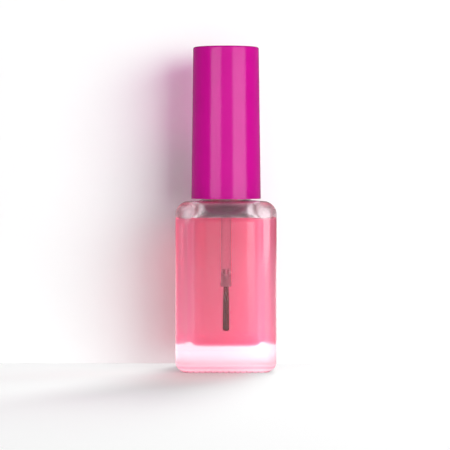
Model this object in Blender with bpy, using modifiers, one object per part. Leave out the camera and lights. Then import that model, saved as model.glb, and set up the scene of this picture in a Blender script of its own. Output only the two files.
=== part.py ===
"""A cuticle oil bottle: square glass bottle, oil, and a tall screw closure that carries a brush.

Upright, +Z up, with the origin at the centre of the base and the front face towards -Y.
The glass and the oil are modelled from the base; the closure's pieces are modelled from the
neck's rim and hang on an empty that stands there, on the axis that the closure turns about.
"""
from math import cos, pi, sin, sqrt, tau

import bmesh
import bpy
from mathutils import Matrix, Vector

MM = 0.001
MERGE = 0.00001

# Running and resting clearances
FIT_GAP = 0.3 * MM
OVERRUN = 1.0 * MM

# Glass body
BODY_WIDTH = 27.5 * MM
BODY_HEIGHT = 46.4 * MM
BODY_EDGE_RADIUS = 4.5 * MM
SHOULDER_RADIUS = 3.3 * MM
HEEL_RADIUS = 2.4 * MM
WALL = 3.95 * MM
BASE_THICKNESS = 7.0 * MM
ROOF_THICKNESS = 1.8 * MM
CAVITY_EDGE_RADIUS = 4.6 * MM
CAVITY_ROOF_RADIUS = 4.4 * MM
CAVITY_FLOOR_RADIUS = 2.2 * MM
FILLET_LIMIT_SHARE = 0.95

# Underside of the glass
BASE_RING_WIDTH = 2.35 * MM
RECESS_DEPTH = 0.5 * MM
RECESS_EDGE_RADIUS = 4.0 * MM
KNURL_PITCH = 1.6 * MM
KNURL_GROOVE_WIDTH = 1.2 * MM
KNURL_DEPTH = 0.45 * MM
KNURL_REACH = 1.0 * MM

# Neck of the glass
NECK_RADIUS = 6.4 * MM
NECK_HEIGHT = 14.0 * MM
NECK_WALL = 2.2 * MM
NECK_FOOT_FLARE = 0.8 * MM
NECK_FOOT_HEIGHT = 0.8 * MM
SHOULDER_RISE = 0.4 * MM
SHOULDER_RISE_MARGIN = 0.25 * MM
RIM_ROUND = 0.5 * MM
BORE_MOUTH_FLARE = 1.7 * MM
BORE_MOUTH_HEIGHT = 3.2 * MM
BORE_MOUTH_WAIST_SHARE = 0.33

# Right-hand thread: a ridge on the neck, and one inside the inner cap
THREAD_PITCH = 2.4 * MM
THREAD_HEIGHT = 0.7 * MM
THREAD_ROOT_WIDTH = 1.0 * MM
THREAD_CREST_WIDTH = 0.35 * MM
THREAD_FROM_RIM = 2.2 * MM
THREAD_SINK = 0.25 * MM
NECK_THREAD_TURNS = 1.75
CAP_THREAD_TURNS = 1.0
OPENING_TURNS = 1.5

# Air between the oil and the cavity's roof
HEADSPACE = 2.5 * MM

# Overcap
CAP_HEIGHT = 41.8 * MM
CAP_TAPER = 0.55 * MM
CAP_TOP_ROUND = 0.5 * MM
CAP_WALL = 1.0 * MM
CAP_LIFT = 0.35 * MM
CAP_RIB_COUNT = 8
CAP_RIB_DEPTH = 1.6 * MM
CAP_RIB_THICKNESS = 0.8 * MM
CAP_RIB_LENGTH = 15.0 * MM

# Inner cap
INNER_CAP_WALL = 0.9 * MM
INNER_CAP_RECESS = 0.6 * MM
INNER_CAP_ROOF = 1.2 * MM
INNER_CAP_LEAD = 0.4 * MM
SLEEVE_WALL = 1.0 * MM
SLEEVE_HEIGHT = 3.6 * MM

# Sealing liner
LINER_THICKNESS = 1.0 * MM
LINER_WIDTH = 1.7 * MM

# Brush stem
STEM_RADIUS = 1.5 * MM
STEM_LIP = 0.1 * MM
STEM_LIP_HEIGHT = 1.1 * MM
STEM_END_ROUND = 0.2 * MM
FLANGE_THICKNESS = 1.0 * MM
FLANGE_WIDTH = 2.3 * MM
PLUG_LENGTH = 3.2 * MM
PLUG_TAPER_LENGTH = 2.6 * MM
BOSS_RADIUS = 2.4 * MM
BOSS_HEIGHT = 4.2 * MM
BOSS_CHAMFER = 0.3 * MM

# Tuft and its anchor
TUFT_RADIUS = 0.72 * MM
TUFT_ROOT_LENGTH = 2.4 * MM
BRISTLE_COUNT = 300
BRISTLE_LENGTH = 12.2 * MM
BRISTLE_RADIUS = 0.021 * MM
BRISTLE_TIP_RADIUS = 0.010 * MM
BRISTLE_SPREAD = 0.28 * MM
BRISTLE_ROOT_SINK = 0.6 * MM
BRISTLE_MARGIN = 0.06 * MM
BRISTLE_BEND_SHARE = 0.4
TUFT_TIP_DOME = 0.9 * MM
TUFT_TIP_CLEARANCE = 3.9 * MM
ANCHOR_WIDTH = 0.73 * MM
ANCHOR_HEIGHT = 1.9 * MM
ANCHOR_ROUND = 0.12 * MM

# Steps of the round shapes
CAP_STEPS = 48
ROUND_STEPS = 40
STEM_STEPS = 24
CORNER_STEPS = 5
ROUND_EDGE_STEPS = 4
KNURL_SIDES = 4
ANCHOR_ROUND_STEPS = 2
STRAND_SIDES = 3

# Heights from the base
SHOULDER_TOP = BODY_HEIGHT + SHOULDER_RISE
RIM_Z = SHOULDER_TOP + NECK_HEIGHT
CAVITY_ROOF = BODY_HEIGHT - ROOF_THICKNESS
OIL_LEVEL = CAVITY_ROOF - HEADSPACE

# Heights from the rim, and how far the stem reaches below it
STEM_REACH = RIM_Z - BASE_THICKNESS - TUFT_TIP_CLEARANCE - BRISTLE_LENGTH
LINER_FOOT = FIT_GAP
FLANGE_FOOT = LINER_FOOT + LINER_THICKNESS + FIT_GAP
FLANGE_TOP = FLANGE_FOOT + FLANGE_THICKNESS
INNER_ROOF_FOOT = FLANGE_TOP + FIT_GAP
INNER_ROOF_TOP = INNER_ROOF_FOOT + INNER_CAP_ROOF
CAP_FOOT = CAP_LIFT - NECK_HEIGHT
CAP_TOP = CAP_FOOT + CAP_HEIGHT
INNER_CAP_FOOT = CAP_FOOT + INNER_CAP_RECESS
NECK_THREAD_FOOT = -THREAD_FROM_RIM - NECK_THREAD_TURNS * THREAD_PITCH
TUFT_TOP = TUFT_ROOT_LENGTH - STEM_REACH
ANCHOR_FOOT = TUFT_TOP + FIT_GAP
SOCKET_TOP = ANCHOR_FOOT + ANCHOR_HEIGHT + FIT_GAP
BRISTLE_TIP = -STEM_REACH - BRISTLE_LENGTH

# The cavity, and the underside's grooves and recess inside the rounded edge
CAVITY_WIDTH = BODY_WIDTH - 2 * WALL
KNURL_INNER = BODY_WIDTH / 2 - HEEL_RADIUS - KNURL_REACH
KNURL_COUNT = 2 * int((KNURL_INNER - KNURL_GROOVE_WIDTH / 2) / KNURL_PITCH + 1 / 2)
RECESS_WIDTH = 2 * (KNURL_INNER - BASE_RING_WIDTH)

# Radii that follow from the fits
SHOULDER_RISE_RADIUS = BODY_WIDTH / 2 - SHOULDER_RADIUS - SHOULDER_RISE_MARGIN
NECK_FOOT_RADIUS = NECK_RADIUS + NECK_FOOT_FLARE
NECK_BORE_RADIUS = NECK_RADIUS - NECK_WALL
BORE_MOUTH_RADIUS = NECK_BORE_RADIUS + BORE_MOUTH_FLARE
NECK_CREST_RADIUS = NECK_RADIUS + THREAD_HEIGHT
INNER_CAP_BORE = NECK_CREST_RADIUS + FIT_GAP
CAP_FOOT_RADIUS = INNER_CAP_BORE + INNER_CAP_WALL + FIT_GAP + CAP_WALL
PLUG_RADIUS = NECK_BORE_RADIUS - FIT_GAP
LINER_BORE = PLUG_RADIUS + 2 * FIT_GAP
FLANGE_RADIUS = PLUG_RADIUS + FLANGE_WIDTH
SLEEVE_BORE = BOSS_RADIUS + FIT_GAP
SOCKET_RADIUS = TUFT_RADIUS + FIT_GAP
ANCHOR_DEPTH = sqrt((2 * TUFT_RADIUS) ** 2 - ANCHOR_WIDTH ** 2)
OIL_BORE = STEM_RADIUS + STEM_LIP + FIT_GAP

GOLDEN_ANGLE = pi * (3 - sqrt(5))


def clear_scene():
    """Start from an empty file, whatever was open."""
    for old in list(bpy.data.objects):
        bpy.data.objects.remove(old, do_unlink=True)


def new_collection(name):
    made = bpy.data.collections.new(name)
    bpy.context.scene.collection.children.link(made)
    return made


def new_material(name, colour, roughness, metallic=0.0, transmission=0.0):
    """A Principled material; transmission is the share of light that passes through."""
    made = bpy.data.materials.new(name)
    made.use_nodes = True
    shader = made.node_tree.nodes["Principled BSDF"]
    shader.inputs["Base Color"].default_value = (*colour, 1.0)
    shader.inputs["Roughness"].default_value = roughness
    shader.inputs["Metallic"].default_value = metallic
    shader.inputs["Transmission Weight"].default_value = transmission
    made.diffuse_color = (*colour, 1.0)
    return made


def add_object(name, mesh, collection):
    made = bpy.data.objects.new(name, mesh)
    collection.objects.link(made)
    return made


def hide_tool(tool):
    """Mark a cutter, or a shape that a Boolean joins on, as no part of the object."""
    tool.hide_render = True
    tool.display_type = "WIRE"
    return tool


def add_boolean(target, tool, operation):
    modifier = target.modifiers.new(tool.name, "BOOLEAN")
    modifier.operation = operation
    modifier.solver = "EXACT"
    modifier.object = hide_tool(tool)


def add_screw(target, steps, turns=1.0, rise=0.0):
    """Turn the profile about Z, or wind it up Z where rise is the climb of one turn."""
    screw = target.modifiers.new("Turned", "SCREW")
    screw.axis = "Z"
    screw.angle = tau * turns
    screw.screw_offset = rise * turns
    screw.steps = steps
    screw.render_steps = steps
    screw.use_merge_vertices = rise == 0.0
    screw.merge_threshold = MERGE
    return screw


def profile_mesh(name, points, closed):
    """Edges through (radius, height) points in the XZ plane."""
    mesh = bpy.data.meshes.new(name)
    shape = bmesh.new()
    corners = [shape.verts.new((radius, 0.0, height)) for radius, height in points]
    for first, second in zip(corners, corners[1:]):
        shape.edges.new((first, second))
    if closed:
        shape.edges.new((corners[-1], corners[0]))
    shape.to_mesh(mesh)
    shape.free()
    return mesh


def turned(name, points, collection, steps, closed=False):
    """A turned solid: the profile runs from the top, down its outer side."""
    made = add_object(name, profile_mesh(name, points, closed), collection)
    add_screw(made, steps)
    return made


def arc(centre, radius, start, end, steps):
    """Points of an arc in the XZ plane, its angles in quarter turns from +X."""
    angles = [(start + (end - start) * i / steps) * pi / 2 for i in range(steps + 1)]
    return [(centre[0] + radius * cos(a), centre[1] + radius * sin(a)) for a in angles]


def smooth_by_angle(mesh):
    mesh.shade_smooth()
    mesh.set_sharp_from_angle(angle=pi / 6)


def rounded_box(name, collection, width, foot, top, edge_radius, top_radius, foot_radius):
    """A square box with rounded upright edges, and rounded edges above and below if asked."""
    shape = bmesh.new()
    place = Matrix.Translation((0.0, 0.0, (foot + top) / 2))
    size = Matrix.Diagonal((width, width, top - foot, 1.0))
    bmesh.ops.create_cube(shape, size=1.0, matrix=place @ size)
    upright = [e for e in shape.edges if abs(e.verts[0].co.z - e.verts[1].co.z) > MERGE]
    bevel_edges(shape, upright, edge_radius, CORNER_STEPS)
    widest = FILLET_LIMIT_SHARE * edge_radius
    for height, radius in ((top, top_radius), (foot, foot_radius)):
        if radius > 0:
            rim = [e for e in shape.edges if all(abs(v.co.z - height) < MERGE for v in e.verts)]
            bevel_edges(shape, rim, min(radius, widest), CORNER_STEPS)
    mesh = bpy.data.meshes.new(name)
    shape.to_mesh(mesh)
    shape.free()
    return add_object(name, mesh, collection)


def bevel_edges(shape, edges, radius, steps):
    bmesh.ops.bevel(
        shape,
        geom=edges,
        offset=radius,
        offset_type="OFFSET",
        segments=steps,
        profile=0.5,
        affect="EDGES",
    )


def thread_ridge(name, collection, root_radius, crest_radius, foot, first_turn, turns):
    """One start of a right-hand ridge, wound from a trapezium and closed at both ends."""
    slope = (THREAD_ROOT_WIDTH - THREAD_CREST_WIDTH) / 2 / abs(crest_radius - root_radius)
    outwards = 1 if crest_radius > root_radius else -1
    sunk_radius = root_radius - outwards * THREAD_SINK
    sunk_half = THREAD_ROOT_WIDTH / 2 + slope * THREAD_SINK
    crest_half = THREAD_CREST_WIDTH / 2
    points = [
        (crest_radius, foot + crest_half),
        (crest_radius, foot - crest_half),
        (sunk_radius, foot - sunk_half),
        (sunk_radius, foot + sunk_half),
    ]
    guide = add_object(name + "_guide", profile_mesh(name, points, True), collection)
    add_screw(guide, round(ROUND_STEPS * turns), turns, THREAD_PITCH)
    bpy.context.view_layer.update()
    evaluated = guide.evaluated_get(bpy.context.evaluated_depsgraph_get())
    mesh = bpy.data.meshes.new_from_object(evaluated)
    bpy.data.objects.remove(guide, do_unlink=True)
    shape = bmesh.new()
    shape.from_mesh(mesh)
    bmesh.ops.rotate(shape, cent=Vector(), matrix=Matrix.Rotation(tau * first_turn, 3, "Z"),
                     verts=shape.verts)
    bmesh.ops.holes_fill(shape, edges=[e for e in shape.edges if e.is_boundary])
    bmesh.ops.recalc_face_normals(shape, faces=shape.faces)
    shape.to_mesh(mesh)
    shape.free()
    return add_object(name, mesh, collection)


def cap_radius(height):
    """Outer radius of the overcap at a height from the rim: a straight taper."""
    share = (height - CAP_FOOT) / CAP_HEIGHT
    return CAP_FOOT_RADIUS - CAP_TAPER * share


def make_knurl_cutter(tools):
    """Short V grooves across the base edge, alike on all four sides, that leave blunt teeth."""
    shape = bmesh.new()
    length = BODY_WIDTH / 2 + OVERRUN - KNURL_INNER
    lying = Matrix.Rotation(pi / 2, 4, "X")
    size = Matrix.Diagonal((KNURL_GROOVE_WIDTH / 2, KNURL_DEPTH, length, 1.0))
    for side in range(4):
        around = Matrix.Rotation(side * pi / 2, 4, "Z")
        for i in range(KNURL_COUNT):
            across = (i - (KNURL_COUNT - 1) / 2) * KNURL_PITCH
            place = Matrix.Translation((across, -KNURL_INNER - length / 2, 0.0))
            bmesh.ops.create_cone(
                shape,
                cap_ends=True,
                segments=KNURL_SIDES,
                radius1=1.0,
                radius2=1.0,
                depth=1.0,
                matrix=around @ place @ lying @ size,
            )
    mesh = bpy.data.meshes.new("knurl_cutter")
    shape.to_mesh(mesh)
    shape.free()
    return add_object("knurl_cutter", mesh, tools)


def make_glass_bottle(parts, tools, material):
    bottle = rounded_box("glass_bottle", parts, BODY_WIDTH, 0.0, BODY_HEIGHT,
                         BODY_EDGE_RADIUS, SHOULDER_RADIUS, HEEL_RADIUS)
    rim_centre = (NECK_RADIUS - RIM_ROUND, RIM_Z - RIM_ROUND)
    neck = turned("neck_tool", [
        (0.0, RIM_Z),
        *arc(rim_centre, RIM_ROUND, 1, 0, ROUND_EDGE_STEPS),
        (NECK_RADIUS, SHOULDER_TOP + NECK_FOOT_HEIGHT),
        (NECK_FOOT_RADIUS, SHOULDER_TOP),
        (SHOULDER_RISE_RADIUS, BODY_HEIGHT - MERGE),
        (SHOULDER_RISE_RADIUS, BODY_HEIGHT - ROOF_THICKNESS / 2),
        (0.0, BODY_HEIGHT - ROOF_THICKNESS / 2),
    ], tools, ROUND_STEPS)
    thread = thread_ridge("neck_thread_tool", tools, NECK_RADIUS, NECK_CREST_RADIUS,
                          RIM_Z + NECK_THREAD_FOOT, 0.0, NECK_THREAD_TURNS)
    cavity = rounded_box("cavity_cutter", tools, CAVITY_WIDTH, BASE_THICKNESS, CAVITY_ROOF,
                         CAVITY_EDGE_RADIUS, CAVITY_ROOF_RADIUS, CAVITY_FLOOR_RADIUS)
    mouth_top = CAVITY_ROOF + BORE_MOUTH_HEIGHT
    bore = turned("bore_cutter", [
        (0.0, RIM_Z + OVERRUN),
        (NECK_BORE_RADIUS, RIM_Z + OVERRUN),
        (NECK_BORE_RADIUS, mouth_top),
        (NECK_BORE_RADIUS + (BORE_MOUTH_RADIUS - NECK_BORE_RADIUS) * BORE_MOUTH_WAIST_SHARE,
         CAVITY_ROOF + BORE_MOUTH_HEIGHT * BORE_MOUTH_WAIST_SHARE),
        (BORE_MOUTH_RADIUS, CAVITY_ROOF),
        (BORE_MOUTH_RADIUS, CAVITY_ROOF - OVERRUN),
        (0.0, CAVITY_ROOF - OVERRUN),
    ], tools, ROUND_STEPS)
    recess = rounded_box("recess_cutter", tools, RECESS_WIDTH, -OVERRUN, RECESS_DEPTH,
                         RECESS_EDGE_RADIUS, RECESS_DEPTH, 0.0)
    add_boolean(bottle, neck, "UNION")
    add_boolean(bottle, thread, "UNION")
    add_boolean(bottle, cavity, "DIFFERENCE")
    add_boolean(bottle, bore, "DIFFERENCE")
    add_boolean(bottle, recess, "DIFFERENCE")
    add_boolean(bottle, make_knurl_cutter(tools), "DIFFERENCE")
    bottle.data.materials.append(material)
    return bottle


def make_oil(parts, tools, material):
    """The liquid fills the cavity to its level, with a bore that the brush lifts out of."""
    oil = rounded_box("oil", parts, CAVITY_WIDTH - 2 * FIT_GAP, BASE_THICKNESS + FIT_GAP,
                      CAVITY_ROOF - FIT_GAP, CAVITY_EDGE_RADIUS - FIT_GAP,
                      CAVITY_ROOF_RADIUS - FIT_GAP, CAVITY_FLOOR_RADIUS - FIT_GAP)
    above = rounded_box("level_cutter", tools, BODY_WIDTH, OIL_LEVEL, RIM_Z, WALL, 0.0, 0.0)
    bore_foot = RIM_Z + BRISTLE_TIP - FIT_GAP
    bore = turned("brush_cutter", [
        (0.0, OIL_LEVEL + OVERRUN),
        (OIL_BORE, OIL_LEVEL + OVERRUN),
        (OIL_BORE, bore_foot + OIL_BORE),
        *arc((0.0, bore_foot + OIL_BORE), OIL_BORE, 0, -1, ROUND_EDGE_STEPS)[1:],
    ], tools, STEM_STEPS)
    add_boolean(oil, above, "DIFFERENCE")
    add_boolean(oil, bore, "DIFFERENCE")
    oil.data.materials.append(material)
    return oil


def make_overcap(parts, tools, material):
    """A tapered shell, open below, with seat ribs above the inner cap."""
    top_radius = cap_radius(CAP_TOP)
    round_centre = (top_radius - CAP_TOP_ROUND, CAP_TOP - CAP_TOP_ROUND)
    overcap = turned("overcap", [
        (0.0, CAP_TOP),
        *arc(round_centre, CAP_TOP_ROUND, 1, 0, ROUND_EDGE_STEPS),
        (CAP_FOOT_RADIUS, CAP_FOOT),
        (CAP_FOOT_RADIUS - CAP_WALL, CAP_FOOT),
        (top_radius - CAP_WALL, CAP_TOP - CAP_WALL),
        (0.0, CAP_TOP - CAP_WALL),
    ], parts, CAP_STEPS)
    shape = bmesh.new()
    rib_foot = INNER_ROOF_TOP + FIT_GAP
    rib_top = rib_foot + CAP_RIB_LENGTH
    outer = cap_radius(rib_foot) - CAP_WALL / 2
    inner = cap_radius(rib_top) - CAP_WALL - CAP_RIB_DEPTH
    size = Matrix.Diagonal((outer - inner, CAP_RIB_THICKNESS, CAP_RIB_LENGTH, 1.0))
    place = Matrix.Translation(((outer + inner) / 2, 0.0, (rib_foot + rib_top) / 2))
    mid_facet = pi / CAP_STEPS
    for i in range(CAP_RIB_COUNT):
        around = Matrix.Rotation(mid_facet + tau * i / CAP_RIB_COUNT, 4, "Z")
        bmesh.ops.create_cube(shape, size=1.0, matrix=around @ place @ size)
    mesh = bpy.data.meshes.new("cap_rib_tool")
    shape.to_mesh(mesh)
    shape.free()
    ribs = add_object("cap_rib_tool", mesh, tools)
    add_boolean(overcap, ribs, "UNION")
    overcap.data.materials.append(material)
    return overcap, ribs


def make_inner_cap(parts, tools, material):
    """Threaded cup that follows the overcap's taper, with a sleeve for the stem's boss."""
    shrink = CAP_WALL + FIT_GAP
    inner_cap = turned("inner_cap", [
        (cap_radius(INNER_ROOF_TOP) - shrink, INNER_ROOF_TOP),
        (cap_radius(INNER_CAP_FOOT) - shrink, INNER_CAP_FOOT),
        (INNER_CAP_BORE + INNER_CAP_LEAD / 2, INNER_CAP_FOOT),
        (INNER_CAP_BORE, INNER_CAP_FOOT + INNER_CAP_LEAD),
        (INNER_CAP_BORE, INNER_ROOF_FOOT),
        (SLEEVE_BORE, INNER_ROOF_FOOT),
        (SLEEVE_BORE, INNER_ROOF_TOP + SLEEVE_HEIGHT),
        (SLEEVE_BORE + SLEEVE_WALL, INNER_ROOF_TOP + SLEEVE_HEIGHT),
        (SLEEVE_BORE + SLEEVE_WALL, INNER_ROOF_TOP),
    ], parts, ROUND_STEPS, closed=True)
    flank_share = (INNER_CAP_BORE - NECK_RADIUS) / THREAD_HEIGHT
    flank_run = (THREAD_ROOT_WIDTH - THREAD_CREST_WIDTH) / 2
    below_neck_ridge = THREAD_ROOT_WIDTH - flank_run * flank_share + FIT_GAP
    first_turn = NECK_THREAD_TURNS - OPENING_TURNS
    foot = NECK_THREAD_FOOT + first_turn * THREAD_PITCH - below_neck_ridge
    thread = thread_ridge("cap_thread_tool", tools, INNER_CAP_BORE, INNER_CAP_BORE - THREAD_HEIGHT,
                          foot, first_turn, CAP_THREAD_TURNS)
    add_boolean(inner_cap, thread, "UNION")
    inner_cap.data.materials.append(material)
    return inner_cap, thread


def make_sealing_liner(parts, material):
    outer = LINER_BORE + LINER_WIDTH
    liner = turned("sealing_liner", [
        (outer, LINER_FOOT + LINER_THICKNESS),
        (outer, LINER_FOOT),
        (LINER_BORE, LINER_FOOT),
        (LINER_BORE, LINER_FOOT + LINER_THICKNESS),
    ], parts, ROUND_STEPS, closed=True)
    liner.data.materials.append(material)
    return liner


def make_brush_stem(parts, material):
    """Boss, flange, neck plug, rod, and an open socket at the rod's end."""
    end = -STEM_REACH
    lip = STEM_RADIUS + STEM_LIP
    plug_foot = FLANGE_FOOT - PLUG_LENGTH
    stem = turned("brush_stem", [
        (0.0, FLANGE_TOP + BOSS_HEIGHT),
        (BOSS_RADIUS - BOSS_CHAMFER, FLANGE_TOP + BOSS_HEIGHT),
        (BOSS_RADIUS, FLANGE_TOP + BOSS_HEIGHT - BOSS_CHAMFER),
        (BOSS_RADIUS, FLANGE_TOP),
        (FLANGE_RADIUS, FLANGE_TOP),
        (FLANGE_RADIUS, FLANGE_FOOT),
        (PLUG_RADIUS, FLANGE_FOOT),
        (PLUG_RADIUS, plug_foot),
        (STEM_RADIUS, plug_foot - PLUG_TAPER_LENGTH),
        (STEM_RADIUS, end + STEM_LIP_HEIGHT + STEM_LIP),
        (lip, end + STEM_LIP_HEIGHT),
        (lip, end + STEM_END_ROUND),
        (lip - STEM_END_ROUND, end),
        (SOCKET_RADIUS, end),
        (SOCKET_RADIUS, SOCKET_TOP),
        (0.0, SOCKET_TOP),
    ], parts, STEM_STEPS)
    stem.data.materials.append(material)
    return stem


def make_bristle_anchor(parts, material):
    """Flat metal staple that stands in the socket above the tuft's root."""
    shape = bmesh.new()
    size = Matrix.Diagonal((ANCHOR_WIDTH, ANCHOR_DEPTH, ANCHOR_HEIGHT, 1.0))
    place = Matrix.Translation((0.0, 0.0, ANCHOR_FOOT + ANCHOR_HEIGHT / 2))
    bmesh.ops.create_cube(shape, size=1.0, matrix=place @ size)
    bevel_edges(shape, shape.edges[:], ANCHOR_ROUND, ANCHOR_ROUND_STEPS)
    mesh = bpy.data.meshes.new("bristle_anchor")
    shape.to_mesh(mesh)
    shape.free()
    anchor = add_object("bristle_anchor", mesh, parts)
    anchor.data.materials.append(material)
    return anchor


def strand_ring(shape, angle, offset, height, thickness):
    """One cross-section of a bristle, standing off the axis by the offset at an angle."""
    outwards = Vector((cos(angle), sin(angle), 0.0))
    centre = outwards * offset + Vector((0.0, 0.0, height))
    turns = [angle + tau * k / STRAND_SIDES for k in range(STRAND_SIDES)]
    return [shape.verts.new(centre + thickness * Vector((cos(a), sin(a), 0.0))) for a in turns]


def make_strand(shape, angle, radius_share):
    """One bristle: it leaves the root straight, spreads out from the axis and tapers."""
    root = (TUFT_RADIUS - BRISTLE_MARGIN) * radius_share
    spread = BRISTLE_SPREAD * radius_share
    bend = root + spread * sin(BRISTLE_BEND_SHARE * pi / 2)
    length = BRISTLE_LENGTH - TUFT_TIP_DOME * radius_share ** 2
    end = -STEM_REACH
    rings = [
        strand_ring(shape, angle, root, end + BRISTLE_ROOT_SINK, BRISTLE_RADIUS),
        strand_ring(shape, angle, bend, end - length * BRISTLE_BEND_SHARE, BRISTLE_RADIUS),
        strand_ring(shape, angle, root + spread, end - length, BRISTLE_TIP_RADIUS),
    ]
    shape.faces.new(rings[0])
    shape.faces.new(reversed(rings[-1]))
    for upper, lower in zip(rings, rings[1:]):
        for k in range(STRAND_SIDES):
            shape.faces.new((upper[k - 1], lower[k - 1], lower[k], upper[k]))


def make_bristles(parts, tools, material):
    """A tuft whose strands all spread from the centre, so that none crosses another."""
    tuft = turned("bristles", [
        (0.0, TUFT_TOP),
        (TUFT_RADIUS, TUFT_TOP),
        (TUFT_RADIUS, -STEM_REACH),
        (0.0, -STEM_REACH),
    ], parts, STEM_STEPS)
    shape = bmesh.new()
    for i in range(BRISTLE_COUNT):
        make_strand(shape, i * GOLDEN_ANGLE, sqrt((i + 0.5) / BRISTLE_COUNT))
    bmesh.ops.recalc_face_normals(shape, faces=shape.faces)
    mesh = bpy.data.meshes.new("strand_tool")
    shape.to_mesh(mesh)
    shape.free()
    strands = add_object("strand_tool", mesh, tools)
    add_boolean(tuft, strands, "UNION")
    tuft.data.materials.append(material)
    return tuft, strands


def make_closure(parts, tools):
    """Everything that turns and lifts off with the cap, hung on the rim's empty."""
    cap_plastic = new_material("magenta_plastic", (0.70, 0.01, 0.33), 0.35)
    inner_plastic = new_material("white_plastic", (0.85, 0.84, 0.83), 0.45)
    liner_foam = new_material("liner_foam", (0.88, 0.87, 0.84), 0.8)
    stem_plastic = new_material("stem_plastic", (0.86, 0.84, 0.84), 0.35, transmission=0.6)
    anchor_metal = new_material("anchor_metal", (0.60, 0.58, 0.56), 0.3, metallic=1.0)
    bristle_nylon = new_material("bristle_nylon", (0.12, 0.03, 0.05), 0.5)
    rim = bpy.data.objects.new("closure_axis", None)
    rim.location.z = RIM_Z
    parts.objects.link(rim)
    pieces = [
        *make_overcap(parts, tools, cap_plastic),
        *make_inner_cap(parts, tools, inner_plastic),
        make_sealing_liner(parts, liner_foam),
        make_brush_stem(parts, stem_plastic),
        make_bristle_anchor(parts, anchor_metal),
        *make_bristles(parts, tools, bristle_nylon),
    ]
    for piece in pieces:
        piece.parent = rim


def main():
    clear_scene()
    parts = new_collection("cuticle_oil_bottle")
    tools = new_collection("cutters_and_joined_shapes")
    glass = new_material("clear_glass", (0.95, 0.96, 0.96), 0.03, transmission=1.0)
    pink_oil = new_material("pink_oil", (0.90, 0.22, 0.35), 0.02, transmission=0.8)
    make_glass_bottle(parts, tools, glass)
    make_oil(parts, tools, pink_oil)
    make_closure(parts, tools)
    bpy.context.view_layer.update()
    for piece in parts.objects:
        if piece.type == "MESH":
            smooth_by_angle(piece.data)


main()
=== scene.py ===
"""Looks of the cuticle oil bottle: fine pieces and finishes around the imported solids.

Metres, +Z up, front towards -Y. Every piece takes its place and its overall size from the
frame; the sizes written here are those that a box can't tell, such as roundings.
"""

from math import atan2, cos, pi, radians, sin, sqrt, tau

import bmesh
import bpy
from mathutils import Matrix, Vector


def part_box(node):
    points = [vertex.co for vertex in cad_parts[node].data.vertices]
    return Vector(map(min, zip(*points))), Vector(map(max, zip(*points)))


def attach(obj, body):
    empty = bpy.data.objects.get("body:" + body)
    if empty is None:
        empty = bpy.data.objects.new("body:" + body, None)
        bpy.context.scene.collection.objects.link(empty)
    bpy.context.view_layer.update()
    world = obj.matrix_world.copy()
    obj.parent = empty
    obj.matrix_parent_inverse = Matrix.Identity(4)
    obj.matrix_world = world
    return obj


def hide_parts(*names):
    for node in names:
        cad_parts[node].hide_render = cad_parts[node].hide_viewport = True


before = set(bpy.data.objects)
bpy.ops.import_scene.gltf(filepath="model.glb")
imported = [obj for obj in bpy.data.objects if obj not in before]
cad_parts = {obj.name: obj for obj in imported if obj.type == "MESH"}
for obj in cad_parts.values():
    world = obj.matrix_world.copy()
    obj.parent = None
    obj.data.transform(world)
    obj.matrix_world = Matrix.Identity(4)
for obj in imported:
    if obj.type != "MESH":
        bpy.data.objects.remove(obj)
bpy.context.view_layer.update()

MM = 0.001

# Points this close are at one height, and points this close are one point
NEAR = 0.004 * MM
SEAM = 0.0005 * MM

# Upright share of a normal on a level face, at least, and on an upright one, at most
LEVEL = 0.9
UPRIGHT = 0.1

# What the frame says of each solid: lowest and highest corner
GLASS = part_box("glass_bottle")
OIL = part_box("oil")
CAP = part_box("overcap")
INNER_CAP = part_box("inner_cap")
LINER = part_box("sealing_liner")
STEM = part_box("brush_stem")
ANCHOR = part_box("bristle_anchor")
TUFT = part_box("bristles")

# Steps of the round shapes
EDGE_STEPS = 14
SIDE_CUTS = 9
RIM_STEPS = 12
LEAD_STEPS = 3
NECK_STEPS = 4 * (EDGE_STEPS + 1 + SIDE_CUTS)
CAP_STEPS = 160
STEM_STEPS = 64
FOLD_STEPS = 24
TOOTH_STEPS = 8
MENISCUS_STEPS = 4
LARGE_ROUND_STEPS = 8
ROUND_STEPS = 4
SMALL_ROUND_STEPS = 3

# Glass body
GAP = 0.3 * MM
HEADSPACE = 2.5 * MM
ROOF_THICKNESS = 1.8 * MM
CAVITY_TOP = OIL[1].z + HEADSPACE
BODY_TOP = CAVITY_TOP + ROOF_THICKNESS
BODY_EDGE_RADIUS = 4.5 * MM
SHOULDER_RADIUS = 3.3 * MM
HEEL_RADIUS = 2.5 * MM
HEEL_PROFILE = 0.42
ROUND_PROFILE = 0.5
CAVITY_EDGE_RADIUS = 4.6 * MM
CAVITY_ROOF_RADIUS = 4.4 * MM
CAVITY_FLOOR_RADIUS = 2.2 * MM
OIL_OVERLAP = 0.02 * MM
MENISCUS_WIDTH = 0.9 * MM
MENISCUS_HEIGHT = 0.25 * MM

# Underside of the glass
TOOTH_COUNT = 13
TOOTH_PITCH = 1.6 * MM
TOOTH_HEIGHT = 0.65 * MM
TOOTH_REACH = 1.0 * MM
RECESS_WIDTH = 16.0 * MM
RECESS_DEPTH = 0.5 * MM
RECESS_EDGE_RADIUS = 4.0 * MM
RECESS_ROOF_RADIUS = 0.9 * RECESS_DEPTH

# Neck of the glass
NECK_RADIUS = 6.4 * MM
SHOULDER_RISE = 0.4 * MM
NECK_FOOT_Z = BODY_TOP + SHOULDER_RISE
NECK_FILLET = 0.8 * MM
RIM_ROUND = 0.5 * MM
BORE_RADIUS = 4.2 * MM
BORE_MOUTH_RADIUS = 5.4 * MM
BORE_MOUTH_HEIGHT = 3.2 * MM

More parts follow.
